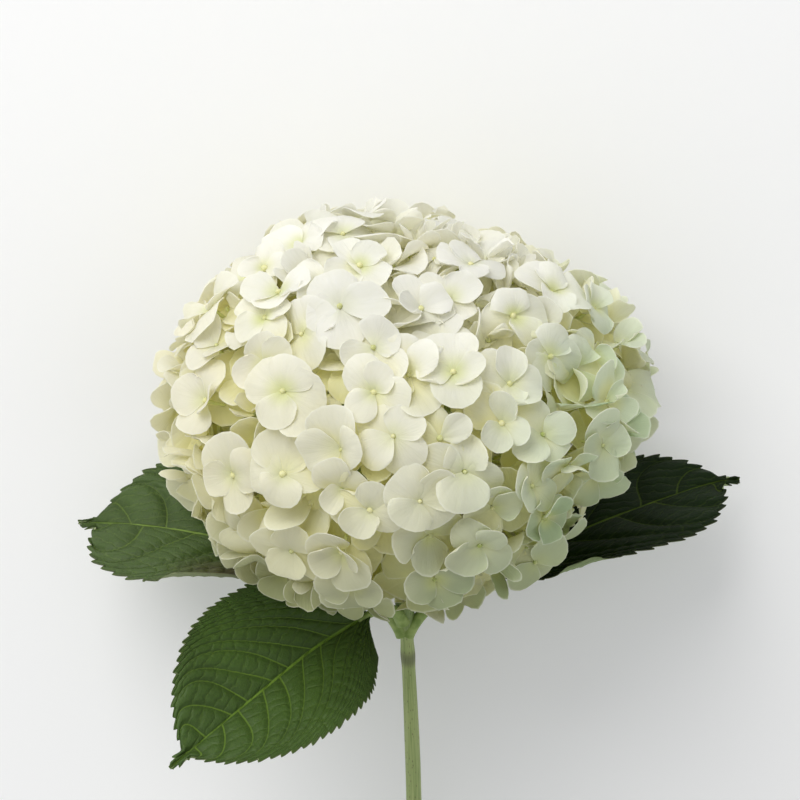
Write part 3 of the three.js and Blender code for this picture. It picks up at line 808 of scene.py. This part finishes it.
# colour is that of the blade, its veins and its underside. curl is where the curled stretch of the margin starts and
# ends and how far it turns, and tip is the half width and the length of the drawn-out tip.
LEAVES = {
    "leaf_left": SimpleNamespace(
        route=[(0, NODE_AT, 0), (-40, -79, -8), (-81, -70, -16), (-116, -69, -25), (-142, -76, -38)],
        base_face=(0.1, 1, 0.1), tip_face=(0.15, 1, 0.5), half_width=37, broadest=1.5, petiole=0.19, cup=0.12,
        teeth=21, tooth=2.6, veins=6.0, sweep=1.0, puff=2.2, wave=1.8, stain=0.8, tip=(3.0, 0.13),
        curl_side=-1, curl=(0.12, 0.56, 1.9), vein_shine=0.4, gloss=0.26,
        colour=(srgb(60, 80, 34), srgb(112, 136, 58), srgb(150, 163, 120)),
    ),
    "leaf_right": SimpleNamespace(
        route=[(0, NODE_AT, 0), (30, -83, -5), (61, -72, -13), (92, -63, -23), (134, -58, -42), (146, -60, -48)],
        base_face=(-0.15, 1, 0), tip_face=(-0.25, 1, 0.3), half_width=36, broadest=1.1, petiole=0.19, cup=0.1,
        teeth=20, tooth=2.8, veins=5.5, sweep=0.9, puff=1.5, wave=1.2, stain=0.0, tip=(4.0, 0.17),
        curl_side=1, curl=(0.08, 0.36, 1.9), vein_shine=0.5, gloss=0.09,
        # Painted shade: this leaf's colours are far darker than those of the other two leaves, as the head's shade
        # falls on it.
        colour=(srgb(12, 30, 4), srgb(74, 92, 28), srgb(140, 156, 112)),
    ),
    "leaf_front": SimpleNamespace(
        route=[(0, NODE_AT + 7, 3), (-20, -91, 18), (-38, -95, 33), (-57, -100, 54), (-77, -106, 76), (-94, -113, 92)],
        base_face=(0.23, 1, 0.45), tip_face=(0.23, 1, 0.45), half_width=40, broadest=0.95, petiole=0.13, cup=0.4,
        teeth=29, tooth=2.0, veins=9.5, sweep=1.0, puff=1.1, wave=1.0, stain=0.0, tip=(2.6, 0.10),
        curl_side=0, curl=None, vein_shine=0.8, gloss=0.24,
        colour=(srgb(62, 85, 36), srgb(98, 126, 44), srgb(140, 156, 108)),
    ),
}


def arc_length(line):
    """How far along a line of points each of them is."""
    return np.concatenate([[0], np.cumsum(np.linalg.norm(np.diff(line, axis=0), axis=1))])


def spline(route, shares):
    """Points and directions at shares of the length of a centripetal Catmull-Rom curve through a route."""
    p = np.array(route, float)
    p = np.concatenate([[2 * p[0] - p[1]], p, [2 * p[-1] - p[-2]]])
    u = np.linspace(0, 1, 60, endpoint=False)[:, None]
    dense = []
    for a, b, c, d in zip(p, p[1:], p[2:], p[3:]):
        da, db, dc = (np.linalg.norm(q - r) ** 0.5 for q, r in ((a, b), (b, c), (c, d)))
        t1 = ((b - a) / da - (c - a) / (da + db) + (c - b) / db) * db
        t2 = ((c - b) / db - (d - b) / (db + dc) + (d - c) / dc) * db
        dense.append(b + t1 * u + (-3 * b + 3 * c - 2 * t1 - t2) * u**2 + (2 * b - 2 * c + t1 + t2) * u**3)
    dense = np.concatenate([*dense, p[-2:-1]])
    length = arc_length(dense)
    shares = np.asarray(shares, float)

    def at(share):
        return np.stack([np.interp(share * length[-1], length, line) for line in dense.T], -1)

    return at(shares), unit(at(np.minimum(shares + 0.004, 1)) - at(np.maximum(shares - 0.004, 0)))


def blade_width(leaf, share):
    """Half the blade's width in millimetres at shares of its length: a round blade and a drawn-out tip."""
    swell = (np.minimum(share, TIP_FROM) / TIP_FROM) ** leaf.broadest
    body = np.maximum(1 - (2 * swell - 1) ** 2, 0) ** (0.5 + 0.12 * ramp(share, 0.6, TIP_FROM))
    body = body * (1 - 0.8 * np.exp(-share / 0.1)) * leaf.half_width * 0.92
    half, length = leaf.tip
    tip = half * np.clip((1 - share) / length, 0, 1) ** 0.8 * ramp(share, 0.4, 0.85)
    return (body**3 + tip**3) ** (1 / 3) + 0.55


def make_blade(name, leaf, material):
    """A leaf's blade: toothed, cupped, puffed between its veins, and curled up along a stretch of its margin."""
    blade = arc_length(spline(leaf.route, np.linspace(leaf.petiole, 1, 60))[0])[-1]
    # Stations and teeth are spread along the margin, so that both go on round the blunt end to the tip.
    table = np.linspace(0, 1, 600)
    margin = table + RIB_SWEEP * (1 - table)
    rim = np.stack([margin * blade, blade_width(leaf, margin)], -1)
    arc = arc_length(rim)
    arc /= arc[-1]
    station = np.interp(np.linspace(0, 1, BLADE_STATIONS), 0.75 * arc + 0.25 * table, table)
    i, column = np.meshgrid(station, [*-BLADE_COLUMNS[:0:-1], *BLADE_COLUMNS], indexing="ij")
    row, side = np.abs(column), np.sign(column)
    share = np.minimum(i + RIB_SWEEP * row**1.4 * (1 - i), 1)
    middle, ahead = spline(leaf.route, leaf.petiole + (1 - leaf.petiole) * share)
    base, tip = unit(leaf.base_face), unit(leaf.tip_face)
    across = unit(np.cross(ahead, base + (tip - base) * share[..., None]))
    up = np.cross(across, ahead)
    width = blade_width(leaf, share)
    seed = sum(map(ord, name)) % 7
    # Each tooth rises slowly and drops behind its tip, which leans towards the leaf's tip.
    run, flare = (np.interp(i, table, part) for part in unit(np.gradient(rim, axis=0)).T)
    teeth = leaf.teeth * np.interp(i, table, arc) + 0.15 * side + 0.12 * np.sin(9 * i + 2 * side + seed)
    phase = teeth % 1.0
    rise, drop = np.minimum(phase / TOOTH_TIP, 1), (1 - phase) / (1 - TOOTH_TIP)
    tooth = np.where(phase < TOOTH_TIP, np.sin(rise * math.pi / 2) ** 1.2, drop**0.8)
    size = leaf.tooth * ramp(i, 0.02, 0.12) * (1 - ramp(i, 0.965, 0.995))
    size = size * (1 + 0.32 * np.sin(np.floor(teeth) * 2.4 + seed)) * np.clip((row - 0.86) / 0.14, 0, 1)
    outward, onward = size * (tooth - 0.45) * 0.85, size * (tooth - 0.3) * 0.9
    out = side * (width * row + run * outward + flare * onward)
    forward = run * onward - flare * outward
    # Side veins leave the midrib at whole numbers of q and sweep forward along the margin. The blade is puffed
    # between them and between the ladder veins that join them.
    sweep = leaf.sweep * (0.42 * row + 0.28 * row**3)
    q = (share - sweep) / (1 - sweep) * leaf.veins + 0.25 * side
    q = q + 0.12 * np.sin(5 * row + 3 * np.round(q) + seed)
    ladder = row * width + 0.35 * share * blade + 0.8 * np.sin(0.9 * q * side + 7 * share)
    pillow = np.sin(math.pi * (q - np.floor(q))) ** 0.6
    rungs = np.sin(math.pi * ((ladder / RUNG_GAP + 0.37 * np.floor(q)) % 1.0)) ** 0.7
    body = np.sin(math.pi * np.clip(row, 0, 0.95) / 0.95) ** 0.6
    mottle = 1 + 0.5 * np.sin(0.33 * ladder + 4 * q) * np.sin(19 * share + 5 * row)
    lift = leaf.cup * width * row + (leaf.puff * (pillow - 0.6) + 0.22 * (rungs - 0.6) * pillow * mottle) * body
    ruffle = 1.4 * row**3 * np.sin(10.4 * share + seed + 1.6 * side)
    lift = lift + ruffle * ramp(i, 0.05, 0.3) * (1 - ramp(i, 0.9, 1.0))
    lift = lift + leaf.wave * np.sin(7.5 * share + 2.2 * column + seed) * row
    if leaf.curl:
        start, end, turn = leaf.curl
        zone = ramp(i, start, start + 0.1) * (1 - ramp(i, end - 0.1, end)) * (side == leaf.curl_side)
        beyond = (row - CURL_FROM) * width
        over = np.maximum(beyond, 0) * zone
        angle = over / ((1 - CURL_FROM) * np.maximum(width, 1)) * turn
        radius = (1 - CURL_FROM) * width / turn
        curled = side * (CURL_FROM * width + radius * np.sin(angle) + beyond * (1 - zone))
        out = np.where(over > 0, curled, out)
        lift = lift + np.where(over > 0, radius * (1 - np.cos(angle)), 0)
        forward = forward * (1 - zone)
    points = middle + across * out[..., None] + up * lift[..., None] + ahead * forward[..., None]
    normal = grid_normals(points)
    # Thin as the blade is, its midrib is a groove above and a ridge below, and its side veins are ridges below.
    x = np.abs(out)
    half = (0.45 - 0.12 * ramp(row, 0.8, 1.0)) / 2
    groove = 0.35 * np.exp(-((x / 0.8) ** 2))
    ridge = 1.5 * (1 - 0.7 * i) * np.exp(-((x / 1.2) ** 2))
    vein = np.abs(q - np.round(q)) * blade * (1 - sweep) / leaf.veins * 0.7
    rib = 0.35 * np.exp(-((vein / 0.8) ** 2)) * (1 - ramp(row, 0.75, 0.98))
    both = [points + normal * (half - groove)[..., None], points - normal * (half + ridge + rib)[..., None]]
    stain = leaf.stain * ramp(row, 0.35, 0.8) * (1 - ramp(share, 0.3, 0.62)) * (side == leaf.curl_side)
    stain = stain + 0.25 * ramp(row, 0.97, 1.0)
    tone = np.stack([np.stack([np.full(row.shape, under), stain, share], -1) for under in (0.0, 1.0)])
    place = np.stack([np.stack([q, ladder, side * x], -1)] * 2)
    both, tone, place = (np.reshape(grid, (-1, 3)) for grid in (both, tone, place))
    make_piece(name + "_blade", both, [sheet_faces(*row.shape)], material, name, tone, place, crease=70)


def make_petiole(name, leaf, material):
    """The petiole leaves the stem nearly along it and bends over into the blade."""
    (joint, lean), _ = spline(leaf.route, [leaf.petiole + PETIOLE_ENTRY, leaf.petiole * 0.8])
    root = np.array(leaf.route[0], float)
    way = np.sign(joint[0])
    start = root + [way * 0.9, -15.0, 1.4 - root[2] * 0.6]
    bend = lean * 0.22 + (root + [way * 4.2, -2.0, 2.2]) * 0.78
    share = np.linspace(0, 1, 26)
    radius = PETIOLE_RADIUS * (1.3 - 0.62 * share) * (1 + 0.25 * np.exp(-share / 0.12))
    points, faces, spots = tubes(bezier([start, bend, lean, joint], len(share))[None], radius, 14)
    make_piece(name + "_petiole", points, faces, material, name, spots, spots)


# ---- Stem ----
# Places along the stem and its radius there: swollen where leaves grow or once grew, thinner below the head.
STEM_PROFILE = [(-335, 3.9), (-268, 3.7), (-252, 5.0), (-244, 4.8), (-232, 3.5), (-160, 3.3), (-124, 2.9), (-118, 3.3),
                (-112, 2.8), (-104, 3.0), (-97, 4.0), (-90, 4.4), (-83, 3.4), (-66, 3.0), (-59, 3.6)]


def make_stem(material):
    """The stem with its swellings, slight ridges and cut face, and the rays of its fork."""
    steps, sides = 240, 28
    along = np.linspace(-STEM_REACH, STEM_TOP, steps)
    radius = np.interp(along, *np.array(STEM_PROFILE).T)
    soft = np.exp(-np.linspace(-2, 2, 9) ** 2)
    radius = np.convolve(np.pad(radius, 4, mode="edge"), soft / soft.sum(), "valid")[:, None]
    bow = STEM_BOW * np.sin(math.pi * np.clip((NODE_AT - along) / (STEM_REACH + NODE_AT), 0, 1))
    middle = np.stack([0.8 * bow, along, bow], -1)
    turn = np.arange(sides) * 2 * math.pi / sides
    along = along[:, None]
    radius = radius * (1 + 0.025 * np.sin(3 * turn + 0.02 * along) + 0.012 * np.sin(7 * turn + 0.05 * along))
    offset = np.stack([np.cos(turn), np.zeros(sides), np.sin(turn)], -1)
    skin = (middle[:, None] + offset * radius[..., None]).reshape(-1, 3)
    wall, first, last = tube_faces(steps, sides)
    # The cut end: a pale face with a slightly sunken pith.
    cut, loops = [], [first]
    for share, out in ((0.93, 0.15), (0.6, -0.1), (0.3, -0.175)):
        loops.append(len(skin) + len(cut) * sides + np.arange(sides))
        cut.append(middle[0] + offset * (radius[0] * share)[:, None] - [0, out, 0])
    ends = [np.stack([a, np.roll(a, -1), np.roll(b, -1), b], -1) for a, b in zip(loops, loops[1:])]
    fork = np.tile([0.0, FORK_AT, 0.0], (RAYS, 1))
    rays, ray_faces, _ = tubes(bezier([fork, ray_tips()], 14), np.linspace(2.5, 1.9, 14), 14)
    stem = np.concatenate([skin, *cut])
    faces = [np.concatenate([wall, *ends]), np.stack([loops[-1], last[::-1]]), *(f + len(stem) for f in ray_faces)]
    # Its tone says how much it is cut face and fork and how far along it is, and its place runs round and along it.
    tone = np.zeros((len(stem) + len(rays), 3))
    tone[: len(skin), 2] = np.repeat(along, sides) / STEM_REACH
    tone[len(skin) : len(stem)] = 1, 0, -1
    tone[len(stem) :, 1] = 0.6
    round_it = (offset + along[..., None] / 10 * [0, 1, 0]).reshape(-1, 3)
    place = np.concatenate([round_it, np.zeros((len(stem) - len(skin), 3)), rays / 10])
    make_piece("stem_skin", np.concatenate([stem, rays]), faces, material, "stem", tone, place, crease=55)


# ---- Materials ----
class Value:
    """An output of a material's nodes that can be reckoned with like a number."""

    def __init__(self, nodes, socket):
        self.nodes, self.socket = nodes, socket

    def __abs__(self):
        return self.nodes.math("ABSOLUTE", self)

    def __add__(self, other):
        return self.nodes.math("ADD", self, other)

    def __sub__(self, other):
        return self.nodes.math("SUBTRACT", self, other)

    def __rsub__(self, other):
        return self.nodes.math("SUBTRACT", other, self)

    def __mul__(self, other):
        return self.nodes.math("MULTIPLY", self, other)

    def __truediv__(self, other):
        return self.nodes.math("DIVIDE", self, other)


class Nodes:
    """A short way to write node materials."""

    def __init__(self, name):
        self.material = bpy.data.materials.new(name)
        self.material.use_nodes = True
        self.tree = self.material.node_tree
        self.tree.nodes.clear()
        self.out = self.tree.nodes.new("ShaderNodeOutputMaterial")
        self.shader = self.tree.nodes.new("ShaderNodeBsdfPrincipled")
        self.where = self.node("TexCoord", {}, "Object")
        self.put(self.out.inputs["Surface"], Value(self, self.shader.outputs["BSDF"]))

    def put(self, socket, value):
        if isinstance(value, Value):
            self.tree.links.new(value.socket, socket)
        elif value is not None:
            socket.default_value = (*map(float, value), 1.0) if socket.type == "RGBA" else value

    def node(self, kind, inputs, output=0, **settings):
        """Adds a node with its settings and its inputs by name or number, and gives one of its outputs."""
        node = self.tree.nodes.new("ShaderNode" + kind)
        for key, value in settings.items():
            setattr(node, key, value)
        for key, value in inputs.items():
            self.put(node.inputs[key], value)
        return Value(self, node.outputs[output])

    def shade(self, **values):
        for name, value in values.items():
            self.put(self.shader.inputs[name.replace("_", " ")], value)
        return self.material

    def let_through(self, share, colour, normal):
        """Lets a share of the light through to the other side, as thin petals do."""
        glow = self.node("BsdfTranslucent", {"Color": colour, "Normal": normal})
        both = self.node("MixShader", {0: share, 1: Value(self, self.shader.outputs["BSDF"]), 2: glow})
        self.put(self.out.inputs["Surface"], both)

    def attribute(self, name, output):
        return self.node("Attribute", {}, output, attribute_name=name)

    def split(self, vector):
        x = self.node("SeparateXYZ", {0: vector})
        return [Value(self, socket) for socket in x.socket.node.outputs]

    def join(self, x, y, z):
        return self.node("CombineXYZ", {0: x, 1: y, 2: z})

    def math(self, operation, a, b=None):
        return self.node("Math", {0: a, 1: b}, operation=operation)

    def step(self, value, low, high, to_low=0.0, to_high=1.0):
        inputs = {"Value": value, "From Min": low, "From Max": high, "To Min": to_low, "To Max": to_high}
        return self.node("MapRange", inputs, interpolation_type="SMOOTHSTEP")

    def mix(self, share, a, b, mode="MIX"):
        return self.node("Mix", {0: share, 6: a, 7: b}, 2, data_type="RGBA", blend_type=mode)

    def noise(self, scale, detail=3.0, vector=None):
        return self.node("TexNoise", {"Vector": vector or self.where, "Scale": scale, "Detail": detail})

    def cells(self, scale, feature, vector=None):
        return self.node("TexVoronoi", {"Vector": vector or self.where, "Scale": scale}, feature=feature)

    def bump(self, height, strength, distance, normal=None):
        return self.node("Bump", {"Height": height, "Strength": strength, "Distance": distance, "Normal": normal})


def petal_material():
    n = Nodes("sepal")
    t, s, seed = n.split(n.attribute("place", "Vector"))
    # Veins fan out from the claw and fork towards the rim.
    veins = n.noise(1.0, 2.0, n.join(t * 9.0, s * 1.1, seed))
    threads = n.noise(1.0, 2.0, n.join(t * 24.0, s * 2.2, seed))
    cloud = n.noise(160.0)
    height = veins + threads * 0.6
    shade = (height * 0.62 - 0.5) * n.step(s, 0.1, 0.5)
    bright = shade * 0.05 + 1.0 + (cloud - 0.5) * 0.05
    colour = n.mix(1.0, n.attribute("tone", "Color"), n.join(bright, bright, bright * bright), "MULTIPLY")
    # Painted highlight: a pale rim round each sepal's edge, as where the light catches it.
    rim = n.step(n.math("MAXIMUM", s, abs(t)), 0.93, 1.0)
    colour = n.mix(rim * 0.45, colour, (0.975, 0.975, 0.93))
    normal = n.bump(height, 0.35, 0.0006, n.bump(n.noise(1400.0, 2.0), 0.10, 0.0002))
    n.let_through(0.5, colour, normal)
    return n.shade(Base_Color=colour, Roughness=n.step(cloud, 0.3, 0.7, 0.5, 0.62), Normal=normal,
                   Specular_IOR_Level=0.28, Sheen_Weight=0.06, Sheen_Roughness=0.5)


def mottled_material(name, scale, spots_to, colour, least_rough, bump, glow):
    """The material of buds and stalks: their own tone, mottled by one noise with a second colour."""
    n = Nodes(name)
    spots = n.noise(scale)
    colour = n.mix(n.step(spots, *spots_to), n.attribute("tone", "Color"), srgb(*colour))
    return n.shade(Base_Color=colour, Roughness=n.step(spots, 0.3, 0.7, least_rough, 0.6), Normal=n.bump(spots, *bump),
                   Subsurface_Weight=glow[0], Subsurface_Radius=glow[1:], Subsurface_Scale=0.002,
                   Specular_IOR_Level=0.35)


def leaf_material(name, leaf):
    n = Nodes(name)
    blade, vein, under = leaf.colour
    low, stain, share = n.split(n.attribute("tone", "Vector"))
    q, ladder, out = n.split(n.attribute("place", "Vector"))
    x = abs(out)
    # Side veins stand at whole numbers of q; the midrib is at x = 0 mm.
    place = q + (n.noise(60.0) - 0.5) * 0.14
    apart = abs(n.math("FRACT", place + 0.5) - 0.5)
    widths = (share_of_gap * leaf.veins / 110 for share_of_gap in (0.5, 0.34))
    width = n.step(x, 0.0, 34.0, *widths) * n.step(x, 4.0, 34.0, 1.0, 1.5)
    side = (1.0 - n.step(apart / width, 0.45, 1.25)) * n.step(q, -1.2, -0.2)
    mid = 1.0 - n.step(x / n.step(share, 0.0, 1.0, 0.85, 0.3), 0.6, 1.15)
    # Ladder veins join the side veins, and a fine net fills between them.
    rungs = ladder / RUNG_GAP + (n.noise(150.0) - 0.5) * 1.4 + n.math("FLOOR", place) * 0.37
    from_rung = 0.5 - abs(n.math("FRACT", rungs) - 0.5)
    groove = 1.0 - n.step(from_rung, 0.0, 0.12)
    net = 1.0 - n.step(n.cells(900.0, "DISTANCE_TO_EDGE"), 0.0, 0.2)
    pillow = n.step(apart, 0.0, 0.30) * n.step(from_rung, 0.0, 0.34, 0.55, 1.0)
    cloud, fleck = n.noise(45.0, 4.0), n.noise(420.0)
    colour = n.mix(n.step(cloud, 0.3, 0.7), blade, blade * 0.66)
    brown = n.mix(n.step(n.noise(220.0, 4.0), 0.35, 0.65), srgb(84, 72, 54), srgb(104, 98, 70))
    for amount, over in (
        # Painted light: the puffed patches between the veins are painted lighter, as where light falls on the puffs.
        (pillow * 0.4, blade * 1.28),
        (n.step(fleck, 0.35, 0.8, 0.0, 0.3), blade * 1.28),
        (groove * 0.14, vein),
        (net * 0.06, vein),
        (side * n.step(x, 0.0, 34.0, leaf.vein_shine, leaf.vein_shine * 0.4), vein),
        (mid * n.step(share, 0.55, 0.95, 0.95, 0.5), vein * 1.15),
        (stain, brown),
    ):
        colour = n.mix(amount, colour, over)
    back = n.mix(n.math("MAXIMUM", side, mid) * 0.5, under, np.minimum(under * 1.4, 0.9))
    back = n.mix(stain * 0.5, n.mix(net * 0.3, back, under * 0.7), brown)
    height = (pillow - side * 0.35 - mid * 0.5 - groove * 0.14 - net * 0.07) * (1.0 - low * 2.0)
    normal = n.bump(height, 0.6, 0.0009, n.bump(fleck, 0.15, 0.0003))
    return n.shade(Base_Color=n.mix(low, colour, back), Roughness=n.step(cloud, 0.2, 0.8, 0.44, 0.58) + low * 0.2,
                   Normal=normal, Specular_IOR_Level=leaf.gloss, Subsurface_Weight=0.06, Subsurface_Scale=0.001,
                   Subsurface_Radius=(0.5, 1.0, 0.2))


def stem_material():
    n = Nodes("stem_rind")
    cut, fork, along = n.split(n.attribute("tone", "Vector"))
    place = n.attribute("place", "Vector")
    x, y, z = n.split(place)
    streaks = n.noise(1.0, 4.0, n.join(x * 6.0, y * 0.5, z * 6.0))
    dots = 1.0 - n.step(n.cells(3.0, "F1", place), 0.10, 0.24)
    ring = n.step(along, -0.372, -0.358) * (1.0 - n.step(along, -0.354, -0.34))
    colour = n.mix(n.step(streaks, 0.35, 0.7), srgb(160, 174, 112), srgb(132, 150, 88))
    for amount, over in (
        (dots * 0.6, srgb(92, 74, 52)),
        # Painted shade: darker green from just below the leaves' node up to the fork, where the head and leaves shade
        # the stem.
        (n.step(along, -0.325, -0.30) * (1.0 - cut) * 0.6, srgb(88, 112, 58)),
        (ring * 0.7, srgb(92, 94, 66)),
        (fork, srgb(172, 186, 118)),
        (cut, srgb(206, 208, 160)),
    ):
        colour = n.mix(amount, colour, over)
    return n.shade(Base_Color=colour, Roughness=n.step(streaks, 0.3, 0.7, 0.42, 0.58),
                   Normal=n.bump(streaks + dots * 0.5, 0.35, 0.0008), Specular_IOR_Level=0.4)


def petiole_material():
    n = Nodes("petiole")
    share, _, _ = n.split(n.attribute("place", "Vector"))
    streaks = n.noise(260.0, 4.0)
    colour = n.mix(n.step(streaks, 0.3, 0.7), srgb(142, 162, 88), srgb(112, 136, 62))
    colour = n.mix(n.step(share, 0.5, 1.0, 0.0, 0.4), colour, srgb(112, 134, 70))
    return n.shade(Base_Color=colour, Roughness=n.step(streaks, 0.3, 0.7, 0.42, 0.58),
                   Normal=n.bump(streaks, 0.3, 0.0006), Specular_IOR_Level=0.4)


# ---- Floor and light ----
def make_stage():
    n = Nodes("floor")
    colour = n.mix(n.noise(3.0), (0.935, 0.937, 0.94), (0.95, 0.951, 0.955))
    mesh = bpy.data.meshes.new("floor")
    mesh.from_pydata([(-6, -6, 0), (6, -6, 0), (6, 6, 0), (-6, 6, 0)], [], [(0, 1, 2, 3)])
    mesh.materials.append(n.shade(Base_Color=colour, Roughness=0.9, Specular_IOR_Level=0.1))
    floor = bpy.data.objects.new("floor", mesh)
    bpy.context.scene.collection.objects.link(floor)
    scene = bpy.context.scene
    scene.world = bpy.data.worlds.new("world")
    scene.world.use_nodes = True
    background = scene.world.node_tree.nodes["Background"]
    background.inputs["Color"].default_value = (0.98, 0.99, 1.0, 1.0)
    background.inputs["Strength"].default_value = 0.65
    scene.view_settings.view_transform = "Standard"
    scene.cycles.max_bounces, scene.cycles.diffuse_bounces = 16, 10
    data = bpy.data.lights.new("key", "AREA")
    data.shape, data.size, data.energy, data.color = "DISK", 2.2, 46.0, (1.0, 0.99, 0.965)
    light = bpy.data.objects.new("key", data)
    scene.collection.objects.link(light)
    light.visible_camera = False
    light.location = (-0.95, 1.9, 1.55)
    light.rotation_euler = (Vector((0, 0, 0.08)) - light.location).to_track_quat("-Z", "Y").to_euler()


# ---- The scene ----
make_camera()
make_stage()
bud_material = mottled_material("floret_bud", 700.0, (0.35, 0.75, 0.0, 0.5), (240, 238, 196), 0.42, (0.3, 0.0004),
                                (0.3, 1.0, 0.95, 0.5))
stalk_material = mottled_material("stalk", 300.0, (0.3, 0.8, 0.0, 0.45), (168, 184, 104), 0.45, (0.25, 0.0005),
                                  (0.2, 0.9, 1.0, 0.4))
make_florets(petal_material(), bud_material, stalk_material)
petiole = petiole_material()
for leaf_name, leaf_numbers in LEAVES.items():
    make_blade(leaf_name, leaf_numbers, leaf_material(leaf_name, leaf_numbers))
    make_petiole(leaf_name, leaf_numbers, petiole)
make_stem(stem_material())
